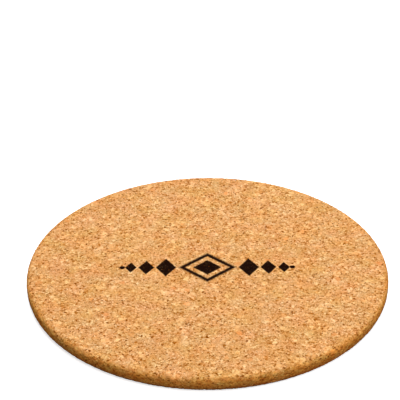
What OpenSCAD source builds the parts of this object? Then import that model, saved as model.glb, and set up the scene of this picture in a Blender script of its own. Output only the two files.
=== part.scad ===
// Round trivet of pressed cork. Magnets sealed between its sheets make it
// cling to iron and steel.
// Origin at the centre of the face it rests on, +Z up, square to the faces.

/* [Disc] */
// Diameter over the rim
disc_d = 195; // [150:1:260]
// Rounding of the rim's upper edge
top_edge_r = 2.75; // [1:0.25:4]
// Rounding of the rim's lower edge
base_edge_r = 2.75; // [0.5:0.25:4]

/* [Cork sheets] */
// Thickness of the upper sheet, whose face is printed
top_sheet_t = 2; // [1.5:0.25:4]
// Thickness of the sheet that rests on the table
base_sheet_t = 2; // [1.5:0.25:4]

/* [Glue films] */
// Thickness of each glue film
film_t = 0.15; // [0.1:0.05:0.3]
// How far a film stays back from the rim, where the cork closes over it
film_setback = 1; // [0.5:0.25:4]

/* [Magnets] */
// Number of magnets on the pitch circle
magnet_count = 4; // [3:1:6]
// Diameter of a magnet
magnet_d = 20; // [10:1:26]
// Thickness of a magnet
magnet_t = 3.5; // [2:0.5:5]
// Chamfer on a magnet's edges
magnet_chamfer = 0.5; // [0.2:0.1:0.9]
// Diameter of the circle that the magnets' centres lie on
pitch_circle_d = 90; // [70:1:120]
// Angle of the first magnet from +X
first_magnet_angle = 45; // [0:5:90]

/* [Clearances] */
// Gap round a magnet in its pocket
pocket_side_gap = 0.25; // [0.1:0.05:0.6]
// Gap over a magnet in its pocket
pocket_head_gap = 0.2; // [0.1:0.05:0.4]

/* [Hidden] */
// The middle sheet is cut just thicker than the magnets that it houses
core_sheet_t = magnet_t + pocket_head_gap;
// Heights of the layers' lower faces, from the table up
lower_film_z = base_sheet_t;
core_sheet_z = lower_film_z + film_t;
upper_film_z = core_sheet_z + core_sheet_t;
top_sheet_z = upper_film_z + film_t;
disc_t = top_sheet_z + top_sheet_t;
disc_r = disc_d / 2;
// A rounding takes up at most this share of the disc's thickness
edge_share = 0.48;
top_round = min(top_edge_r, disc_t * edge_share);
base_round = min(base_edge_r, disc_t * edge_share);
magnet_r = magnet_d / 2;
pitch_circle_r = pitch_circle_d / 2;
pocket_r = magnet_r + pocket_side_gap;
// How far a cutting shape runs past the face that it cuts
overrun = 1;
cork_colour = [0.87, 0.62, 0.37];
core_colour = [0.78, 0.55, 0.32];
film_colour = [0.85, 0.68, 0.38, 0.8];
ferrite_colour = [0.2, 0.2, 0.21];
// Facet count that stands for a true circle
round_fn = 180;

MAGNETS = [for (i = [1 : magnet_count]) str("magnet_", i)];

// Half width of a quarter-round edge of radius r at height dz from its centre
function round_reach(r, dz) = sqrt(max(r ^ 2 - dz ^ 2, 0));

// Radius of the rim at height z above the table
function rim_radius(z) =
    z < base_round ? disc_r - base_round + round_reach(base_round, base_round - z) :
    z > disc_t - top_round ? disc_r - top_round + round_reach(top_round, z - disc_t + top_round) :
    disc_r;

// Half section of the whole disc: upright rim between an upper and a lower rounding
module disc_half_section() {
    translate([0, base_round])
        square([disc_r, disc_t - top_round - base_round]);
    square([disc_r - base_round, base_round]);
    translate([0, disc_t - top_round])
        square([disc_r - top_round, top_round]);
    translate([disc_r - base_round, base_round])
        circle(r = base_round, $fn = round_fn);
    translate([disc_r - top_round, disc_t - top_round])
        circle(r = top_round, $fn = round_fn);
}

// One sheet of the laminate: the slice of the disc that starts at height z
module cork_slice(z, t) {
    rotate_extrude($fn = round_fn)
        intersection() {
            disc_half_section();
            translate([0, z])
                square([disc_r, t]);
        }
}

module glue_film(z) {
    color(film_colour)
        translate([0, 0, z])
            cylinder(
                r = min(rim_radius(z), rim_radius(z + film_t)) - film_setback,
                h = film_t,
                $fn = round_fn
            );
}

// Moves its children to seat i of the evenly spaced seats on the pitch circle
module at_magnet_seat(i) {
    rotate([0, 0, first_magnet_angle + (i - 1) * 360 / magnet_count])
        translate([pitch_circle_r, 0, core_sheet_z])
            children();
}

module base_sheet() {
    color(cork_colour)
        cork_slice(0, base_sheet_t);
}

module lower_film() {
    glue_film(lower_film_z);
}

// Middle sheet, punched right through at each magnet
module core_sheet() {
    color(core_colour)
        difference() {
            cork_slice(core_sheet_z, core_sheet_t);
            for (i = [1 : magnet_count])
                at_magnet_seat(i)
                    translate([0, 0, -overrun])
                        cylinder(r = pocket_r, h = core_sheet_t + 2 * overrun, $fn = round_fn);
        }
}

module upper_film() {
    glue_film(upper_film_z);
}

module top_sheet() {
    color(cork_colour)
        cork_slice(top_sheet_z, top_sheet_t);
}

// Pressed ferrite disc with chamfered edges, lying on the lower film
module magnet(i) {
    color(ferrite_colour)
        at_magnet_seat(i)
            rotate_extrude($fn = round_fn)
                polygon([
                    [0, 0],
                    [magnet_r - magnet_chamfer, 0],
                    [magnet_r, magnet_chamfer],
                    [magnet_r, magnet_t - magnet_chamfer],
                    [magnet_r - magnet_chamfer, magnet_t],
                    [0, magnet_t],
                ]);
}

base_sheet();
lower_film();
core_sheet();
upper_film();
top_sheet();
for (i = [1 : magnet_count])
    magnet(i);
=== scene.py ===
# %% [markdown]
# # A round trivet of pressed cork
# A trivet keeps hot cookware off the table. This one is a flat board of pressed cork, 195 mm across and 8 mm
# thick, and magnets sealed inside make it cling to iron and steel. The lesson shapes the board as one
# block, slices it into the three sheets that it is glued from, and gives each piece its finish.

# %% Load the frame
import math
import bpy
from mathutils import Matrix, Vector


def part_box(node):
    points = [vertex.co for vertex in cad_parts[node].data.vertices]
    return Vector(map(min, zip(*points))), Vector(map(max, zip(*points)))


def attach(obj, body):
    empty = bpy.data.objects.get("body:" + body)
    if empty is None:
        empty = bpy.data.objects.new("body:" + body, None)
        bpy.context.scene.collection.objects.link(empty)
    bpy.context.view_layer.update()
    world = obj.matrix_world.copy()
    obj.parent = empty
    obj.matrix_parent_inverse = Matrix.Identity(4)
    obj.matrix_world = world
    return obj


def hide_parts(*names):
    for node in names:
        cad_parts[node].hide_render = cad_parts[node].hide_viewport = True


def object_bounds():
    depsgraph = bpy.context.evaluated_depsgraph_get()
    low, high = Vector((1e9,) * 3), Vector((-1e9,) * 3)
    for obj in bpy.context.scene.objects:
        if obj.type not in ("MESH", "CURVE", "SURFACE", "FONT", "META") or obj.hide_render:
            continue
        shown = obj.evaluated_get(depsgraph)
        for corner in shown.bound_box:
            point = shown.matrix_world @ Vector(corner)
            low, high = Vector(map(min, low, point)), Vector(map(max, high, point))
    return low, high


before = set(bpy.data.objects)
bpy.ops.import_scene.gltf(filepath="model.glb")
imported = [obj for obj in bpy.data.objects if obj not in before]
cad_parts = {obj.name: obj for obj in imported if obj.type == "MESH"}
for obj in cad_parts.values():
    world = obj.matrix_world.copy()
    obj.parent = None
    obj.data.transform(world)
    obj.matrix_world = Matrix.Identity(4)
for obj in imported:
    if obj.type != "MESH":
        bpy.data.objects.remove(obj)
cad_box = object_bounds()
MM = 0.001
disc_radius = cad_box[1].x
disc_top = cad_box[1].z
print("board: %.1f mm across, %.1f mm thick" % (2 * disc_radius / MM, disc_top / MM))

# %% [markdown]
# ## Camera
# The board lies in front of a long lens that looks down at it by a third of a right angle. From the ellipse
# that the rim draws, one can work back to where such a camera stood. It looks a little above the board's
# centre, and it is turned and tipped by less than half a degree.

# %% Camera
CAMERA_REACH = 0.8
SIGHT_ELEVATION = math.radians(33.88)
CAMERA_PITCH = math.radians(31.28)
CAMERA_YAW = math.radians(0.32)
CAMERA_ROLL = math.radians(-0.43)
LENS = 133.1

sight = Vector((0, -math.cos(SIGHT_ELEVATION), math.sin(SIGHT_ELEVATION)))
bpy.ops.object.camera_add()
camera = bpy.context.object
camera.name = "camera"
camera.data.lens = LENS
camera.matrix_world = (
    Matrix.Translation(Vector((0, 0, disc_top)) + CAMERA_REACH * sight)
    @ Matrix.Rotation(CAMERA_YAW, 4, "Z")
    @ Matrix.Rotation(math.pi / 2 - CAMERA_PITCH, 4, "X")
    @ Matrix.Rotation(CAMERA_ROLL, 4, "Z")
)
bpy.context.scene.camera = camera
print("camera at", [round(v, 3) for v in camera.matrix_world.translation])

# %% [markdown]
# ## Node helpers
# Every finish here is a tree of nodes, and trees are easier to read when a line of code is a sentence:
# add a node, wire a socket, do one sum. These helpers do that. A plain number handed to a socket is typed
# into it, and a socket handed to it is wired.

# %% Nodes and sums
def add_node(tree, kind, **settings):
    made = tree.nodes.new(kind)
    for name, value in settings.items():
        setattr(made, name, value)
    return made


def feed(tree, socket, value):
    if isinstance(value, bpy.types.NodeSocket):
        tree.links.new(value, socket)
    else:
        socket.default_value = value


def maths(tree, operation, *values):
    made = add_node(tree, "ShaderNodeMath", operation=operation)
    for socket, value in zip(made.inputs, values):
        feed(tree, socket, value)
    return made.outputs["Value"]


def distance(tree, first, second):
    """How far a point with these two coordinates is from the origin."""
    squares = [maths(tree, "POWER", coordinate, 2.0) for coordinate in (first, second)]
    return maths(tree, "SQRT", maths(tree, "ADD", *squares))


def vector_maths(tree, operation, first, second):
    made = add_node(tree, "ShaderNodeVectorMath", operation=operation)
    feed(tree, made.inputs[0], first)
    feed(tree, made.inputs["Scale" if operation == "SCALE" else 1], second)
    return made.outputs["Vector"]


def split_axes(tree, vector):
    made = add_node(tree, "ShaderNodeSeparateXYZ")
    feed(tree, made.inputs["Vector"], vector)
    return made.outputs


print("sums that a tree can do:", [made.__name__ for made in (maths, distance, vector_maths)])

# %% [markdown]
# Nodes hold linear values, and srgb turns a colour as a colour picker shows it, from 0 to 255, into them.
# The noise texture gives soft clouds, and the Voronoi texture gives cells. Both are random, yet the same on
# each run, because they depend on nothing but the place that they read. Most of a noise lies between 0.3 and
# 0.7, so a value that is named a range says which part of a noise is stretched to the full width.

# %% Colours and textures
def srgb(red, green, blue):
    """A picked colour as linear red, green and blue, and full alpha."""
    shares = [c / 255 for c in (red, green, blue)]
    linear = [s / 12.92 if s <= 0.04045 else ((s + 0.055) / 1.055) ** 2.4 for s in shares]
    return (*linear, 1.0)


def remap(tree, value, low, high, new_low=0.0, new_high=1.0, smooth=False):
    made = add_node(tree, "ShaderNodeMapRange")
    made.interpolation_type = "SMOOTHSTEP" if smooth else "LINEAR"
    for name, number in zip(("From Min", "From Max", "To Min", "To Max"), (low, high, new_low, new_high)):
        feed(tree, made.inputs[name], number)
    feed(tree, made.inputs["Value"], value)
    return made.outputs["Result"]


def blend_colour(tree, kind, factor, under, over):
    made = add_node(tree, "ShaderNodeMix", data_type="RGBA", blend_type=kind)
    colours = [s for s in made.inputs if s.type == "RGBA"]
    feed(tree, made.inputs["Factor"], factor)
    feed(tree, colours[0], under)
    feed(tree, colours[1], over)
    return [s for s in made.outputs if s.type == "RGBA"][0]


def noise(tree, vector, scale, detail=2.0, roughness=0.5):
    made = add_node(tree, "ShaderNodeTexNoise")
    feed(tree, made.inputs["Vector"], vector)
    feed(tree, made.inputs["Scale"], scale)
    feed(tree, made.inputs["Detail"], detail)
    feed(tree, made.inputs["Roughness"], roughness)
    return made.outputs


# A noise colour less middle grey is a push that goes every way by turns
MIDDLE_GREY = (0.5, 0.5, 0.5)


def cells(tree, vector, scale, feature="F1"):
    made = add_node(tree, "ShaderNodeTexVoronoi", feature=feature)
    feed(tree, made.inputs["Vector"], vector)
    feed(tree, made.inputs["Scale"], scale)
    return made.outputs


def random_values(tree, cell):
    """The colour of a Voronoi cell as three random values, named Red, Green and Blue."""
    made = add_node(tree, "ShaderNodeSeparateColor")
    feed(tree, made.inputs["Color"], cell["Color"])
    return made.outputs


print("a picked value of 128 is %.3f in linear light" % srgb(128, 128, 128)[0])

# %% [markdown]
# A node group is a small tree with named inputs and outputs. It is built once and then placed in a material
# like any one node. Each material here starts from the position on its piece, so its pattern stays with the
# piece wherever that goes.

# %% Groups and materials
def new_group(name, inputs, outputs):
    tree = bpy.data.node_groups.new(name, "ShaderNodeTree")
    for label, kind in inputs:
        tree.interface.new_socket(label, in_out="INPUT", socket_type="NodeSocket" + kind)
    for label, kind in outputs:
        tree.interface.new_socket(label, in_out="OUTPUT", socket_type="NodeSocket" + kind)
    source = add_node(tree, "NodeGroupInput").outputs
    target = add_node(tree, "NodeGroupOutput").inputs
    return tree, source, target


def use_group(tree, group, **values):
    made = add_node(tree, "ShaderNodeGroup", node_tree=group)
    for name, value in values.items():
        feed(tree, made.inputs[name], value)
    return made.outputs


def new_material(name):
    material = bpy.data.materials.new(name)
    material.use_nodes = True
    tree = material.node_tree
    position = add_node(tree, "ShaderNodeTexCoord").outputs["Object"]
    return material, tree, tree.nodes["Principled BSDF"].inputs, position


def bump(tree, height, depth):
    made = add_node(tree, "ShaderNodeBump")
    feed(tree, made.inputs["Height"], height)
    feed(tree, made.inputs["Distance"], depth)
    feed(tree, made.inputs["Strength"], 1.0)
    return made.outputs["Normal"]


print("helpers for whole trees:", [made.__name__ for made in (new_group, use_group, new_material)])

# %% [markdown]
# ## Cork, as a node group
# Pressed cork is bark that was ground to crumbs about a millimetre wide and baked into a block with a
# little glue, then sliced and sanded. A Voronoi texture gives such crumbs, because its cells are random,
# touch each other and have one random colour each. Some crumbs are lumps nearly three times as wide, so in
# places a larger Voronoi takes over. A noise bends the space that both read, so that no joint is straight.
# The press flattens the crumbs, so that space is stretched along Z as well. The pattern depends on the
# position alone and runs on unbroken from sheet to sheet, as in a block that was cut. Sizes are in mm.

# %% Crumbs and lumps
CRUMB = 0.95
LUMP = 2.6
LUMP_SHARE = 0.3
LUMP_MARGIN = 0.02
FLATTENED = 1.6
WANDER_SIZE = 0.77


def cork_space(tree, position):
    """The place in mm, flattened as the press does it, and the same place bent by a noise."""
    place = vector_maths(tree, "MULTIPLY", position, (1 / MM, 1 / MM, FLATTENED / MM))
    wander = noise(tree, place, 1 / WANDER_SIZE, detail=3.0)["Color"]
    bent = vector_maths(tree, "ADD", place, vector_maths(tree, "SUBTRACT", wander, MIDDLE_GREY))
    return place, bent


def crumbs_and_lumps(tree, bent):
    """Random values of the crumb and the lump at a place, 1 where the lump shows, and the way to a joint."""
    crumb = random_values(tree, cells(tree, bent, 1 / CRUMB))
    lump = random_values(tree, cells(tree, bent, 1 / LUMP))
    in_lump = remap(tree, lump["Green"], 1 - LUMP_SHARE, 1 - LUMP_SHARE + LUMP_MARGIN)
    crumb_joint = cells(tree, bent, 1 / CRUMB, "DISTANCE_TO_EDGE")["Distance"]
    lump_joint = cells(tree, bent, 1 / LUMP, "DISTANCE_TO_EDGE")["Distance"]
    lump_joint = maths(tree, "MULTIPLY", lump_joint, LUMP / CRUMB)
    return crumb, lump, in_lump, remap(tree, in_lump, 0.0, 1.0, crumb_joint, lump_joint)


print("crumbs of %.2f mm, lumps of %.1f mm in %.0f%% of the cork" % (CRUMB, LUMP, 100 * LUMP_SHARE))

# %% [markdown]
# Each crumb keeps its own tone. Most are close to the middle and a few stand out, so the random value is
# cubed about its middle. A fine grain runs through all of them, and a lump is a little paler or deeper as a
# whole. The sum picks a colour on a ramp of three tans.

# %% Tones of the crumbs
DEEP_TAN = srgb(172, 101, 27)
TAN = srgb(233, 170, 104)
CREAM = srgb(255, 209, 147)
MIDDLE = 0.5
CRUMB_SPREAD = 5.0
LUMP_SPREAD = 0.22
GRAIN_SPREAD = 0.42
GRAIN_SIZE = 0.6
GRAIN_RANGE = (0.25, 0.75)


def crumb_colour(tree, crumb, lump, in_lump, grain, contrast):
    off_middle = maths(tree, "SUBTRACT", crumb["Red"], MIDDLE)
    tone = maths(tree, "MULTIPLY", maths(tree, "POWER", off_middle, 3.0), CRUMB_SPREAD)
    tone = maths(tree, "ADD", tone, remap(tree, grain, *GRAIN_RANGE, -GRAIN_SPREAD, GRAIN_SPREAD))
    lump_tone = remap(tree, lump["Red"], 0.0, 1.0, -LUMP_SPREAD, LUMP_SPREAD)
    tone = maths(tree, "MULTIPLY_ADD", lump_tone, in_lump, tone)
    ramp = add_node(tree, "ShaderNodeValToRGB")
    feed(tree, ramp.inputs["Fac"], maths(tree, "MULTIPLY_ADD", tone, contrast, MIDDLE))
    ramp.color_ramp.elements[0].color = DEEP_TAN
    ramp.color_ramp.elements[1].color = CREAM
    ramp.color_ramp.elements.new(MIDDLE).color = TAN
    return ramp.outputs["Color"]


print("the middle tan is", [round(v, 3) for v in TAN[:3]], "in linear light")

# %% [markdown]
# Where two crumbs meet there is a thin brown line or a pit, in some patches more than in others. Here and
# there lies a dark crumb of the outer bark, or a pale fleck. They are round spots in the cells of one more
# Voronoi, shifted away from the crumbs. A cell's random value makes its speck large, or its fleck, or
# neither, and a noise makes the specks come in clusters.

# %% Seams, specks and flecks
BARK = srgb(143, 73, 0)
SEAM_EDGES = (0.01, 0.14)
SEAM_STRENGTH = 0.6
PATCH_SIZE = 1.25
PATCH_RANGE = (0.4, 0.65)
SPECK = 1.6
SPECK_SHIFT = (31.7, 12.9, 5.3)
# Random values at which a spot is smallest and largest, and its radii there as shares of a cell
SPECK_DRAWS = (0.4, 1.0)
SPECK_RADII = (0.1, 0.44)
FLECK_DRAWS = (0.3, 0.0)
FLECK_RADII = (0.1, 0.42)
FLECK_STRENGTH = 0.6
SPOT_SOFTNESS = 0.1
CLUSTER_SIZE = 2.9
CLUSTER_RANGE = (0.3, 0.7)
CLUSTER_GROWTH = 0.12


def seams(tree, place, joint):
    """1 along a joint, for the relief, and how brown the joint is there, for the colour."""
    seam = remap(tree, joint, *SEAM_EDGES, 1.0, 0.0, smooth=True)
    patch = remap(tree, noise(tree, place, 1 / PATCH_SIZE)["Fac"], *PATCH_RANGE, 0.0, SEAM_STRENGTH)
    return seam, maths(tree, "MULTIPLY", seam, patch)


def round_spot(tree, cell, radius):
    inside = maths(tree, "SUBTRACT", radius, cell["Distance"])
    return remap(tree, inside, 0.0, SPOT_SOFTNESS, smooth=True)


def specks_and_flecks(tree, place, bent):
    cell = cells(tree, vector_maths(tree, "ADD", bent, SPECK_SHIFT), 1 / SPECK)
    draw = random_values(tree, cell)["Blue"]
    clouds = noise(tree, place, 1 / CLUSTER_SIZE)["Fac"]
    growth = remap(tree, clouds, *CLUSTER_RANGE, -CLUSTER_GROWTH, CLUSTER_GROWTH)
    speck = round_spot(tree, cell, maths(tree, "ADD", remap(tree, draw, *SPECK_DRAWS, *SPECK_RADII), growth))
    fleck = round_spot(tree, cell, remap(tree, draw, *FLECK_DRAWS, *FLECK_RADII))
    return speck, maths(tree, "MULTIPLY", fleck, FLECK_STRENGTH)


print("specks up to %.1f mm across" % (2 * SPECK * (SPECK_RADII[1] + CLUSTER_GROWTH)))

# %% [markdown]
# Over a centimetre or two the hue drifts, as one expects where bark of many trees is mixed. One noise leads
# from golden to rosy, and the same noise, read elsewhere, from pale to deep. Each multiplies the colour by a
# tint that is nearly white.

# %% Drift of the hue
GOLDEN = (0.97, 1.008, 1.0, 1.0)
ROSY = (1.03, 0.97, 0.985, 1.0)
PALE = (1.015, 1.04, 1.16, 1.0)
DEEP = (0.985, 0.96, 0.86, 1.0)
DRIFT_SIZE = 11.0
DRIFT_SHIFT = (40.0, 40.0, 40.0)
DRIFT_RANGE = (0.35, 0.65)


def drifting_hue(tree, place, colour):
    elsewhere = vector_maths(tree, "ADD", place, DRIFT_SHIFT)
    for read_at, low_tint, high_tint in ((place, GOLDEN, ROSY), (elsewhere, PALE, DEEP)):
        drift = remap(tree, noise(tree, read_at, 1 / DRIFT_SIZE, detail=3.0)["Fac"], *DRIFT_RANGE)
        tint = blend_colour(tree, "MIX", drift, low_tint, high_tint)
        colour = blend_colour(tree, "MULTIPLY", 1.0, colour, tint)
    return colour


print("hue drifts over %.0f mm" % DRIFT_SIZE)

# %% [markdown]
# The group lays seams, specks, flecks and a rare orange lump over the tan of the crumbs. It also puts out a
# height, in which seams and specks are pits, and a roughness that follows the grain.

# %% Cork group
ORANGE = srgb(240, 158, 88)
ORANGE_DRAWS = (0.992, 0.995)
ORANGE_STRENGTH = 0.6
SEAM_HEIGHT = -0.6
SPECK_HEIGHT = -0.8
CRUMB_HEIGHT = 0.25
GRAIN_HEIGHT = 0.5
POLISH_RANGE = (0.2, 0.8)
CORK_ROUGHNESS = (0.72, 0.95)


def cork_group():
    tree, source, target = new_group(
        "cork",
        [("Position", "Vector"), ("Contrast", "Float")],
        [("Colour", "Color"), ("Height", "Float"), ("Roughness", "Float")],
    )
    place, bent = cork_space(tree, source["Position"])
    crumb, lump, in_lump, joint = crumbs_and_lumps(tree, bent)
    grain = noise(tree, bent, 1 / GRAIN_SIZE, detail=4.0, roughness=0.7)["Fac"]
    seam, brown_seam = seams(tree, place, joint)
    speck, fleck = specks_and_flecks(tree, place, bent)
    orange = remap(tree, lump["Blue"], *ORANGE_DRAWS, 0.0, ORANGE_STRENGTH)

    colour = crumb_colour(tree, crumb, lump, in_lump, grain, source["Contrast"])
    for share, over in ((brown_seam, BARK), (speck, BARK), (fleck, CREAM), (orange, ORANGE)):
        colour = blend_colour(tree, "MIX", share, colour, over)
    feed(tree, target["Colour"], drifting_hue(tree, place, colour))

    height = maths(tree, "MULTIPLY", grain, GRAIN_HEIGHT)
    for value, weight in ((seam, SEAM_HEIGHT), (speck, SPECK_HEIGHT), (crumb["Green"], CRUMB_HEIGHT)):
        height = maths(tree, "MULTIPLY_ADD", value, weight, height)
    feed(tree, target["Height"], height)
    feed(tree, target["Roughness"], remap(tree, grain, *POLISH_RANGE, *CORK_ROUGHNESS))
    return tree


CORK = cork_group()
print("cork group:", len(CORK.nodes), "nodes")

# %% [markdown]
# ## Printed ornament
# The middle of the upper face carries a mark in black ink, half as wide as the board. A mark on cork is
# screen printed: flat, dense, a touch ragged, and it skips the deepest pits. A row of lozenges that
# shrink from a framed one in the middle is an old, common border pattern. Each lozenge is one sum,
# since |x| / a + |y| / b is less than 1 inside it, so the mask is exact at any zoom and needs no image.

# %% Ornament mask
# Half width and half height of the framed lozenge, and the sizes of its inner edge and its heart as shares
FRAME_LOZENGE = (15.5, 14.0)
FRAME_INNER_SHARE = 0.76
HEART_SHARE = 0.5
# Place of the centre, half width and half height of each lozenge to either side
SIDE_LOZENGES = [(22.4, 5.6, 8.6), (33.0, 4.3, 6.6), (41.4, 3.2, 4.9)]
END_DOT_PLACE = 46.0
END_DOT_RADIUS = 1.5
INK_SOFTNESS = 0.06
RAGGED_SIZE = 0.45
RAGGED_REACH = 0.35


def ornament_group():
    tree, source, target = new_group("ornament", [("Position", "Vector")], [("Mask", "Float")])
    place = vector_maths(tree, "SCALE", source["Position"], 1 / MM)
    ragged = vector_maths(tree, "SUBTRACT", noise(tree, place, 1 / RAGGED_SIZE)["Color"], MIDDLE_GREY)
    place = vector_maths(tree, "ADD", place, vector_maths(tree, "SCALE", ragged, RAGGED_REACH))
    axes = split_axes(tree, place)
    across = maths(tree, "ABSOLUTE", axes["X"])
    along = maths(tree, "ABSOLUTE", axes["Y"])

    def lozenge(centre, half_width, half_height):
        away = maths(tree, "ABSOLUTE", maths(tree, "SUBTRACT", across, centre))
        width_share = maths(tree, "DIVIDE", away, half_width)
        height_share = maths(tree, "DIVIDE", along, half_height)
        reach = maths(tree, "ADD", width_share, height_share)
        return remap(tree, reach, 1 - INK_SOFTNESS, 1 + INK_SOFTNESS, 1.0, 0.0)

    def middle_lozenge(share):
        return lozenge(0.0, *(share * half for half in FRAME_LOZENGE))

    mask = maths(tree, "SUBTRACT", middle_lozenge(1.0), middle_lozenge(FRAME_INNER_SHARE))
    mask = maths(tree, "MAXIMUM", mask, middle_lozenge(HEART_SHARE))
    for centre, half_width, half_height in SIDE_LOZENGES:
        mask = maths(tree, "MAXIMUM", mask, lozenge(centre, half_width, half_height))
    reach = distance(tree, maths(tree, "SUBTRACT", across, END_DOT_PLACE), along)
    dot = remap(tree, reach, END_DOT_RADIUS - INK_SOFTNESS, END_DOT_RADIUS + INK_SOFTNESS, 1.0, 0.0)
    feed(tree, target["Mask"], maths(tree, "MAXIMUM", mask, dot))
    return tree


ORNAMENT = ornament_group()
print("ornament: %.0f mm wide" % (2 * (END_DOT_PLACE + END_DOT_RADIUS)))

# %% [markdown]
# ## Cork finish
# One function makes the finish of all three sheets. The rim was milled and is handled, so it is browner than
# the sanded faces. That tone sets in with the distance from the nearer face, only near the rim. It runs in
# streaks, russet and olive by turns. Its streaks lighten with the height and its lower half is darker: both
# are painted shade.

# %% Tone of the rim
RIM_REACH = 8.0 * MM
SIDE_FADE = 0.9 * MM
STREAK_LENGTH = 2.5 * MM
STREAK_HEIGHT = 1.25 * MM
STREAK_RANGE = (0.37, 0.63)
DARK_STREAK = (0.82, 0.46, 0.135, 1.0)
LIGHT_STREAK = (1.13, 1.02, 0.51, 1.0)
# Painted shade: how much lighter the rim's streaks get from its bottom to its top
PAINTED_LIGHTENING_UPWARD = 0.5
HUES_PER_STREAK = 0.45
RUSSET_SIDE = (1.05, 0.96, 0.86, 1.0)
OLIVE_SIDE = (0.94, 1.03, 1.16, 1.0)
# Painted shade: a darker tint for the lowest part of the rim, full below the first share of the height and
# gone above the second
PAINTED_SHADE_TINT = (0.69, 0.60, 0.62, 1.0)
PAINTED_SHADE_SHARES = (0.25, 0.58)


def share_of_side(tree, axes):
    """0 on both faces, and nearly 1 half way up the rim."""
    from_axis = distance(tree, axes["X"], axes["Y"])
    near_rim = remap(tree, from_axis, disc_radius - RIM_REACH, disc_radius - RIM_REACH / 2)
    below_upper_face = maths(tree, "SUBTRACT", disc_top, axes["Z"])
    from_face = maths(tree, "MAXIMUM", maths(tree, "MINIMUM", below_upper_face, axes["Z"]), 0.0)
    fade = maths(tree, "EXPONENT", maths(tree, "DIVIDE", from_face, -SIDE_FADE))
    return maths(tree, "MULTIPLY", maths(tree, "SUBTRACT", 1.0, fade), near_rim)


def rim_tone(tree, position, height_share):
    """The colour that the rim's cork is multiplied by. Light streaks get more common with the height, a
    painted shade that leaves the lower rim darker, and the lowest part gets a painted shade tint.
    """
    stretch = [1 / size for size in (STREAK_LENGTH, STREAK_LENGTH, STREAK_HEIGHT)]
    place = vector_maths(tree, "MULTIPLY", position, stretch)
    clouds = noise(tree, place, 1.0, detail=4.0, roughness=0.65)["Fac"]
    streak = remap(tree, clouds, *STREAK_RANGE, -PAINTED_LIGHTENING_UPWARD / 2, 1 - PAINTED_LIGHTENING_UPWARD / 2)
    # Painted shade: the streaks lighten with the height, so the lower rim is darker
    streak = maths(tree, "MULTIPLY_ADD", height_share, PAINTED_LIGHTENING_UPWARD, streak)
    tone = blend_colour(tree, "MIX", streak, DARK_STREAK, LIGHT_STREAK)
    hue = remap(tree, noise(tree, place, HUES_PER_STREAK)["Fac"], *DRIFT_RANGE)
    tint = blend_colour(tree, "MIX", hue, RUSSET_SIDE, OLIVE_SIDE)
    tone = blend_colour(tree, "MULTIPLY", 1.0, tone, tint)
    # Painted shade: the lowest part of the rim is multiplied by a darker tint
    painted_low_shade = remap(tree, height_share, *PAINTED_SHADE_SHARES, 1.0, 0.0)
    return blend_colour(tree, "MULTIPLY", painted_low_shade, tone, PAINTED_SHADE_TINT)


print("the rim's tone fades within %.1f mm of a face" % (SIDE_FADE / MM))

# %% [markdown]
# Only the upper sheet is printed. The mask of the ornament goes right through it, so the ink is kept to its
# upper millimetre. Pits take less ink. Raw cork is dry, so it hardly shines, and the ink shines as little.

# %% Cork finish
CONTRAST = 0.95
SIDE_CALM = 0.2
CRUMB_BUMP = 0.2 * MM
DRY_SPECULAR = 0.01
INK = srgb(22, 4, 0)
INK_DEPTH = 1.0 * MM
INK_FULL_DEPTH = 0.8 * MM
PIT_HEIGHTS = (-0.5, -0.2)
INK_IN_PITS = 0.7
INK_ROUGHNESS = 0.6


def ink_cover(tree, position, axes, height):
    mask = use_group(tree, ORNAMENT, Position=position)["Mask"]
    on_top = remap(tree, axes["Z"], disc_top - INK_DEPTH, disc_top - INK_FULL_DEPTH)
    skipped = remap(tree, height, *PIT_HEIGHTS, INK_IN_PITS, 1.0)
    return maths(tree, "MULTIPLY", mask, maths(tree, "MULTIPLY", on_top, skipped))


def cork_finish(name, printed=False):
    material, tree, shader, position = new_material(name)
    axes = split_axes(tree, position)
    cork = use_group(tree, CORK, Position=position, Contrast=CONTRAST)
    side = share_of_side(tree, axes)
    side_tone = rim_tone(tree, position, maths(tree, "DIVIDE", axes["Z"], disc_top))
    calm = blend_colour(tree, "MIX", maths(tree, "MULTIPLY", side, SIDE_CALM), cork["Colour"], TAN)
    colour = blend_colour(tree, "MULTIPLY", side, calm, side_tone)
    roughness = cork["Roughness"]
    if printed:
        ink = ink_cover(tree, position, axes, cork["Height"])
        colour = blend_colour(tree, "MIX", ink, colour, INK)
        roughness = remap(tree, ink, 0.0, 1.0, roughness, INK_ROUGHNESS)
    feed(tree, shader["Base Color"], colour)
    feed(tree, shader["Roughness"], roughness)
    feed(tree, shader["Normal"], bump(tree, cork["Height"], CRUMB_BUMP))
    shader["Specular IOR Level"].default_value = DRY_SPECULAR
    return material


FACE_CORK = cork_finish("face_cork", printed=True)
PLAIN_CORK = cork_finish("plain_cork")
print("finishes:", FACE_CORK.name, PLAIN_CORK.name)

# %% [markdown]
# ## The board as one block
# The sheets are glued first and the rim is milled afterwards, so the board is shaped whole here too.
# A circle is filled with a square grid of faces, which gives even cells with no pole in the middle. The
# rim grows from that circle by extruding its edge ring step by step round the two roundings.

# %% Outline of the rim
FACE_SPAN = 66
RIM_POINTS = 4 * FACE_SPAN
EDGE_ROUND = 2.75 * MM
EDGE_STEPS = 4
WALL_STEPS = 2


def rim_stations():
    """Radius and height of each ring, from the edge of the upper face down to the edge of the lower one."""
    flat = disc_radius - EDGE_ROUND
    turns = [math.pi / 2 * step / EDGE_STEPS for step in range(EDGE_STEPS + 1)]
    upper = [(flat + EDGE_ROUND * math.sin(t), disc_top - EDGE_ROUND * (1 - math.cos(t))) for t in turns]
    lower = [(radius, disc_top - height) for radius, height in reversed(upper)]
    wall = disc_top - 2 * EDGE_ROUND
    between = [(disc_radius, EDGE_ROUND + wall * (1 - step / WALL_STEPS)) for step in range(1, WALL_STEPS)]
    return upper + between + lower


RINGS = rim_stations()
print("rim:", len(RINGS), "rings of", RIM_POINTS, "points")

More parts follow.
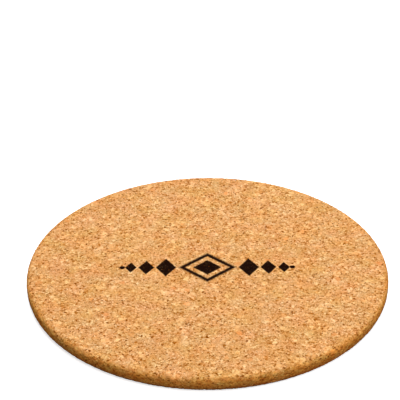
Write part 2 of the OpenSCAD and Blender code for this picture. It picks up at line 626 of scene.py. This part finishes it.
# %% Circle, grid fill and extruded rim
bpy.ops.object.select_all(action="DESELECT")
first_radius, first_height = RINGS[0]
bpy.ops.mesh.primitive_circle_add(vertices=RIM_POINTS, radius=first_radius, location=(0, 0, first_height))
block = bpy.context.object
block.name = "block"
bpy.ops.object.transform_apply()
bpy.ops.object.mode_set(mode="EDIT")
bpy.ops.mesh.select_mode(type="EDGE")
bpy.ops.mesh.select_all(action="SELECT")
for (radius, height), (next_radius, next_height) in zip(RINGS, RINGS[1:]):
    bpy.ops.mesh.extrude_edges_move(TRANSFORM_OT_translate={"value": (0, 0, next_height - height)})
    growth = next_radius / radius
    bpy.ops.transform.resize(value=(growth, growth, 1), center_override=(0, 0, 0))
bpy.ops.mesh.fill_grid(span=FACE_SPAN)
bpy.ops.object.mode_set(mode="OBJECT")
print("open at the top:", len(block.data.polygons), "faces")

# %% [markdown]
# The edge ring that the last step left selected is the rim of the lower face, so a second grid fill closes
# the upper side. Subdivision Surface then rounds the stations of the rim into one curve, and it makes the
# mesh fine enough, at about 0.7 mm a cell, to carry the relief of the crumbs.

# %% Close and smooth the block
SMOOTH_LEVELS = 2

bpy.ops.object.mode_set(mode="EDIT")
bpy.ops.mesh.select_all(action="DESELECT")
bpy.ops.mesh.select_non_manifold(extend=False)
bpy.ops.mesh.fill_grid(span=FACE_SPAN)
bpy.ops.mesh.select_all(action="SELECT")
bpy.ops.mesh.normals_make_consistent(inside=False)
bpy.ops.object.mode_set(mode="OBJECT")


def finish_with(piece, kind, **settings):
    """Adds a modifier to a piece and applies it."""
    bpy.context.view_layer.objects.active = piece
    modifier = piece.modifiers.new(kind.lower(), kind)
    for name, value in settings.items():
        setattr(modifier, name, value)
    bpy.ops.object.modifier_apply(modifier=modifier.name)


finish_with(block, "SUBSURF", levels=SMOOTH_LEVELS, render_levels=SMOOTH_LEVELS)
print("smooth block:", len(block.data.polygons), "faces")

# %% [markdown]
# ## Relief of the crumbs
# Sanding leaves the faces of the crumbs in one plane and tears small pits between them. A Displace modifier
# with its middle level at white only ever pushes inwards, so the board keeps its outer size. One
# Voronoi texture makes the joints between crumbs: it is dark where the nearest and the second nearest cell
# are equally far. A second, larger one makes the pits of lost crumbs: it is dark in the middle of a cell.

# %% Relief
JOINT_SPACING = 2.2 * MM
JOINT_DEPTH = 0.16 * MM
JOINT_SHARPNESS = 5.0
PIT_SPACING = 4.2 * MM
PIT_DEPTH = 0.28 * MM
PIT_SHARPNESS = 4.0
# Weights of the distances to the nearest and to the second nearest cell
BETWEEN_CELLS = (-1.0, 1.0)
FROM_MIDDLE = (1.0, 0.0)


def relief_texture(name, spacing, weights, sharpness):
    texture = bpy.data.textures.new(name, "VORONOI")
    texture.noise_scale = spacing
    texture.weight_1, texture.weight_2 = weights
    texture.noise_intensity = sharpness
    texture.use_clamp = True
    return texture


joints = relief_texture("joints", JOINT_SPACING, BETWEEN_CELLS, JOINT_SHARPNESS)
pits = relief_texture("pits", PIT_SPACING, FROM_MIDDLE, PIT_SHARPNESS)
for texture, depth in ((joints, JOINT_DEPTH), (pits, PIT_DEPTH)):
    finish_with(block, "DISPLACE", texture=texture, texture_coords="LOCAL", mid_level=1.0, strength=depth)
heights = [v.co.z for v in block.data.vertices]
print("after the relief: %.2f to %.2f mm high" % (min(heights) / MM, max(heights) / MM))

# %% [markdown]
# ## Slicing the block into its sheets
# A bisect with its fill turned on cuts a block and closes it with a flat face. Both cuts run through the
# middle of a glue film, so neighbouring sheets meet at the rim with no gap, as glued cork does. Each cut
# face is then inset a little and pushed back, and the film lies in that shallow recess.

# %% Cut and recess
FILM_SETBACK = 1.0 * MM
CUT_TOLERANCE = 0.0001 * MM
LEVEL_TOLERANCE = 0.001 * MM
LEVEL_NORMAL = 0.999


def cut(height, keep_above):
    """Cuts the active piece at a height, closes it there and keeps the side above or the side below."""
    bpy.ops.object.mode_set(mode="EDIT")
    bpy.ops.mesh.select_all(action="SELECT")
    bpy.ops.mesh.bisect(
        plane_co=(0, 0, height),
        plane_no=(0, 0, 1),
        use_fill=True,
        clear_inner=keep_above,
        clear_outer=not keep_above,
        threshold=CUT_TOLERANCE,
    )
    bpy.ops.mesh.select_all(action="DESELECT")
    bpy.ops.object.mode_set(mode="OBJECT")


def recess_cut(piece, height, depth):
    """Insets the flat face left at a height by a cut and moves it up or down by a signed depth."""
    for polygon in piece.data.polygons:
        level = abs(polygon.center.z - height) < LEVEL_TOLERANCE
        polygon.select = level and abs(polygon.normal.z) > LEVEL_NORMAL
    bpy.ops.object.mode_set(mode="EDIT")
    bpy.ops.mesh.select_mode(type="FACE")
    bpy.ops.mesh.inset(thickness=FILM_SETBACK)
    bpy.ops.transform.translate(value=(0, 0, depth))
    bpy.ops.object.mode_set(mode="OBJECT")


film_half = (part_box("upper_film")[1].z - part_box("upper_film")[0].z) / 2
print("each recess: %.3f mm deep" % (film_half / MM))

# %% Slices
def cut_height(film):
    low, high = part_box(film)
    return (low.z + high.z) / 2


def slice_block(name, cuts):
    """A copy of the block, cut at each (height, side kept, depth of the film's recess)."""
    bpy.ops.object.select_all(action="DESELECT")
    block.select_set(True)
    bpy.context.view_layer.objects.active = block
    bpy.ops.object.duplicate()
    piece = bpy.context.object
    piece.name = piece.data.name = name
    for height, keep_above, depth in cuts:
        cut(height, keep_above)
        recess_cut(piece, height, depth)
    return piece


lower_cut = cut_height("lower_film")
upper_cut = cut_height("upper_film")
top_cork = slice_block("top_cork", [(upper_cut, True, film_half)])
core_cork = slice_block("core_cork", [(upper_cut, False, -film_half), (lower_cut, True, film_half)])
base_cork = slice_block("base_cork", [(lower_cut, False, -film_half)])
bpy.data.objects.remove(block)
for piece in (top_cork, core_cork, base_cork):
    print(piece.name, len(piece.data.polygons), "faces")

# %% [markdown]
# ## Pockets for the magnets
# The middle sheet is punched right through where the magnets sit. Each punch is a cylinder, at the place and
# size of the magnet that the frame holds plus the gap round it, and a Boolean modifier takes it out.

# %% Pockets
POCKET_GAP = 0.25 * MM
PUNCH_SIDES = 96
MAGNETS = sorted(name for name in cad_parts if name.startswith("magnet"))

for name in MAGNETS:
    low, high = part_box(name)
    bpy.ops.object.select_all(action="DESELECT")
    bpy.ops.mesh.primitive_cylinder_add(
        vertices=PUNCH_SIDES,
        radius=(high.x - low.x) / 2 + POCKET_GAP,
        depth=disc_top,
        location=(low + high) / 2,
    )
    punch = bpy.context.object
    finish_with(core_cork, "BOOLEAN", object=punch, operation="DIFFERENCE", solver="EXACT")
    bpy.data.objects.remove(punch)
print("core:", len(core_cork.data.polygons), "faces after", len(MAGNETS), "pockets")

# %% [markdown]
# ## Glue and magnets
# The films and the magnets are seen only when the board is taken apart, and they still get real finishes.
# Their solids need no more shape, so the frame's own nodes are kept. Cured glue is amber, with a slow
# mottle where it soaked in. A ferrite magnet is a grey ceramic that was ground flat, so it shows fine
# scratches that run round it.

# %% Glue finish
GLUE_AMBER = srgb(196, 142, 62)
GLUE_HONEY = srgb(232, 188, 104)
GLUE_BUMP = 0.05 * MM
MOTTLES_PER_MM = 0.25
RIPPLES_PER_MM = 1.4
NOISE_RANGE = (0.3, 0.7)
SATIN_ROUGHNESS = (0.35, 0.6)


def dress_node(name, finish):
    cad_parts[name].data.materials.clear()
    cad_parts[name].data.materials.append(finish)


def glue_finish():
    material, tree, shader, position = new_material("cured_glue")
    place = vector_maths(tree, "SCALE", position, 1 / MM)
    mottle = noise(tree, place, MOTTLES_PER_MM, detail=4.0)["Fac"]
    ripples = noise(tree, place, RIPPLES_PER_MM, detail=3.0)["Fac"]
    feed(tree, shader["Base Color"], blend_colour(tree, "MIX", mottle, GLUE_AMBER, GLUE_HONEY))
    feed(tree, shader["Roughness"], remap(tree, mottle, *NOISE_RANGE, *SATIN_ROUGHNESS))
    feed(tree, shader["Normal"], bump(tree, ripples, GLUE_BUMP))
    return material


GLUE = glue_finish()
FILMS = [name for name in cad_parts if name.endswith("film")]
for name in FILMS:
    dress_node(name, GLUE)
print("glue on", FILMS)

# %% Ferrite finish
FERRITE_DARK = srgb(44, 44, 47)
FERRITE_GREY = srgb(74, 74, 78)
FERRITE_BUMP = 0.01 * MM
SCRATCHES_PER_MM = 9.0
FERRITE_GRAINS_PER_MM = 6.0


def ferrite_finish(name, centre):
    material, tree, shader, position = new_material(name + "_ferrite")
    local = vector_maths(tree, "SUBTRACT", position, centre)
    place = vector_maths(tree, "SCALE", local, 1 / MM)
    from_centre = add_node(tree, "ShaderNodeVectorMath", operation="LENGTH")
    feed(tree, from_centre.inputs[0], place)
    rings = from_centre.outputs["Value"]
    scratches = noise(tree, rings, SCRATCHES_PER_MM, detail=4.0, roughness=0.7)["Fac"]
    grain = noise(tree, place, FERRITE_GRAINS_PER_MM, detail=3.0, roughness=0.6)["Fac"]
    feed(tree, shader["Base Color"], blend_colour(tree, "MIX", grain, FERRITE_DARK, FERRITE_GREY))
    feed(tree, shader["Roughness"], remap(tree, scratches, *NOISE_RANGE, *SATIN_ROUGHNESS))
    feed(tree, shader["Normal"], bump(tree, scratches, FERRITE_BUMP))
    return material


for name in MAGNETS:
    low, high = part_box(name)
    dress_node(name, ferrite_finish(name, tuple((low + high) / 2)))
print("ferrite on", MAGNETS)

# %% [markdown]
# ## Putting the sheets in place
# The sheets lie where the frame's own nodes lie, so each takes the place of its node and rides on the board.

# %% Finish and place the sheets
SMOOTH_BELOW = math.radians(40)
for piece, stands_for, finish, slot in (
    (top_cork, "top_sheet", FACE_CORK, "cork_sheet"),
    (core_cork, "core_sheet", PLAIN_CORK, "cork_core"),
    (base_cork, "base_sheet", PLAIN_CORK, "cork_sheet"),
):
    piece.data.materials.clear()
    piece.data.materials.append(finish)
    bpy.ops.object.select_all(action="DESELECT")
    piece.select_set(True)
    bpy.context.view_layer.objects.active = piece
    bpy.ops.object.shade_smooth_by_angle(angle=SMOOTH_BELOW)
    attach(piece, "root")
    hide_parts(stands_for)
    print(piece.name, "stands for", stands_for)

# %% [markdown]
# ## Floor and light
# The board lies on a white table in a bright room. A broad light behind it and high up lights its face, so
# the rim that faces us is in half shade, and a weaker one at the front right fills that rim. A white table
# would also light the rim from below. So the floor is white to the camera and in reflections, and grey to
# the light that bounces, which keeps the rim dark. A glow that only the camera sees keeps the shadow faint.

# %% Floor
FLOOR_SIZE = 8.0
FLOOR_GAP = 0.02 * MM
WHITE = (1.0, 1.0, 1.0, 1.0)
FLOOR_GREY = srgb(85, 85, 85)
FLOOR_GLOW = 0.6
FLOOR_ROUGHNESS = 0.9


def seen_directly(tree):
    """1 for rays that come from the camera, a reflection or a glass, and 0 for bounced light."""
    path = add_node(tree, "ShaderNodeLightPath").outputs
    seen = maths(tree, "MAXIMUM", path["Is Camera Ray"], path["Is Glossy Ray"])
    return maths(tree, "MAXIMUM", seen, path["Is Transmission Ray"])


bpy.ops.object.select_all(action="DESELECT")
bpy.ops.mesh.primitive_plane_add(size=FLOOR_SIZE, location=(0, 0, -FLOOR_GAP))
floor = bpy.context.object
floor.name = "floor"
floor_material, floor_tree, floor_shader, _ = new_material("table_top")
shade = blend_colour(floor_tree, "MIX", seen_directly(floor_tree), FLOOR_GREY, WHITE)
glow = maths(floor_tree, "MULTIPLY", seen_directly(floor_tree), FLOOR_GLOW)
feed(floor_tree, floor_shader["Base Color"], shade)
feed(floor_tree, floor_shader["Emission Strength"], glow)
floor_shader["Emission Color"].default_value = WHITE
floor_shader["Roughness"].default_value = FLOOR_ROUGHNESS
floor_shader["Specular IOR Level"].default_value = 0.0
floor.data.materials.append(floor_material)
print("floor: %.0f m across" % FLOOR_SIZE)

# %% Lights and world
LIGHT_REACH = 1.6
LIGHT_SIZE = 1.0
WORLD_GREY = 0.472
# Name of each light: the turn from +X and the rise above the table of its place, in degrees, and its watts
LIGHTS = {"key_light": (90, 65, 17.9), "fill_light": (-45, 40, 8.6)}

for name, (turn, rise, power) in LIGHTS.items():
    raised = Matrix.Rotation(-math.radians(rise), 3, "Y") @ Vector((1, 0, 0))
    towards = Matrix.Rotation(math.radians(turn), 3, "Z") @ raised
    bpy.ops.object.light_add(type="AREA", location=LIGHT_REACH * towards)
    light = bpy.context.object
    light.name = name
    light.data.size = LIGHT_SIZE
    light.data.energy = power
    light.rotation_euler = (-towards).to_track_quat("-Z", "Y").to_euler()
    print(name, [round(v, 2) for v in light.location], power, "W")

world = bpy.context.scene.world or bpy.data.worlds.new("studio")
bpy.context.scene.world = world
world.use_nodes = True
sky = world.node_tree
level = remap(sky, seen_directly(sky), 0.0, 1.0, WORLD_GREY, 1.0)
feed(sky, sky.nodes["Background"].inputs["Strength"], level)
sky.nodes["Background"].inputs["Color"].default_value = WHITE
bpy.context.scene.view_settings.view_transform = "Standard"
print("world level", WORLD_GREY)

# %% Measure and finish
print("CAD box, mm:", [[round(v / MM, 2) for v in c] for c in cad_box])
